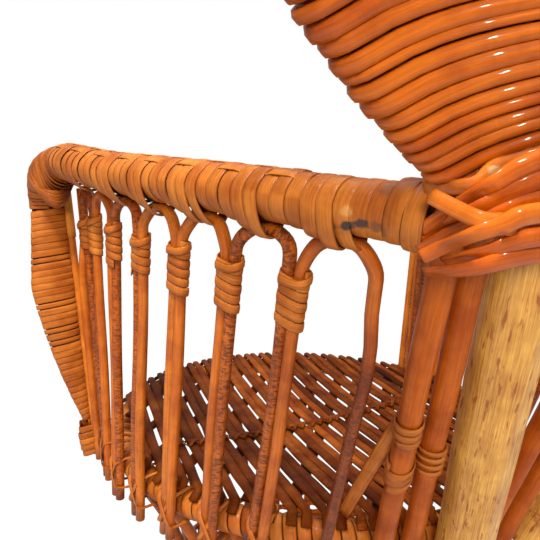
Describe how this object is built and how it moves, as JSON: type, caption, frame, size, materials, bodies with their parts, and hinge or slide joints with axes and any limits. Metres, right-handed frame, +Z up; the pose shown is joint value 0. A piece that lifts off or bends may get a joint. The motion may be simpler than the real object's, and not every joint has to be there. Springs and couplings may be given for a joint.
{
  "type": "wicker fan-back armchair",
  "caption": "Rattan armchair with a tall oval fan back, arms of hooped rods under cane-wrapped rails, a round woven seat and an hourglass base.",
  "frame": {"origin": "on the floor, under the middle of the whole chair", "axes": "+Z up, the sitter faces -Y, +X is the sitter's left, the fan is on the +Y side"},
  "size_m": [0.9396, 0.7836, 1.4895],
  "materials": {
    "rattan_rod": "lacquered honey-brown rattan rod",
    "rattan_pole": "lacquered orange rattan pole",
    "cane_peel": "lacquered flat cane peel",
    "woven_core": "lacquered woven round core",
    "bamboo_pole": "pale specked bamboo under lacquer"
  },
  "bodies": {
    "root": {"floor_ring": "rattan_pole", "seat_ring": "rattan_pole", "fan_rim": "rattan_pole", "base_spokes": "rattan_rod", "fan_lattice": "rattan_rod", "waist_band": "woven_core", "seat_deck": "woven_core", "fan_panel": "woven_core", "throat_strap": "cane_peel", "arm_rail_left": "woven_core", "arm_rail_right": "woven_core", "arm_leaf_left": "woven_core", "arm_leaf_right": "woven_core", "arm_winding_left": "cane_peel", "arm_winding_right": "cane_peel", "leaf_knob_left": "cane_peel", "leaf_knob_right": "cane_peel", "collar_1_left": "cane_peel", "collar_1_right": "cane_peel", "collar_2_left": "cane_peel", "collar_2_right": "cane_peel", "collar_3_left": "cane_peel", "collar_3_right": "cane_peel", "collar_4_left": "cane_peel", "collar_4_right": "cane_peel", "collar_5_left": "cane_peel", "collar_5_right": "cane_peel", "collar_6_left": "cane_peel", "collar_6_right": "cane_peel", "collar_7_left": "cane_peel", "collar_7_right": "cane_peel", "hoop_1_left": "rattan_rod", "hoop_1_right": "rattan_rod", "hoop_2_left": "rattan_rod", "hoop_2_right": "rattan_rod", "hoop_3_left": "rattan_rod", "hoop_3_right": "rattan_rod", "hoop_4_left": "rattan_rod", "hoop_4_right": "rattan_rod", "hoop_5_left": "rattan_rod", "hoop_5_right": "rattan_rod", "hoop_6_left": "rattan_rod", "hoop_6_right": "rattan_rod", "hoop_7_left": "rattan_rod", "hoop_7_right": "rattan_rod", "front_rod_left": "rattan_rod", "front_rod_right": "rattan_rod", "edge_rod_left": "rattan_rod", "edge_rod_right": "rattan_rod", "bamboo_post_left": "bamboo_pole", "bamboo_post_right": "bamboo_pole", "outer_strut_left": "rattan_pole", "outer_strut_right": "rattan_pole", "inner_strut_left": "rattan_pole", "inner_strut_right": "rattan_pole", "middle_strut_left": "rattan_pole", "middle_strut_right": "rattan_pole"}
  },
  "joints": []
}
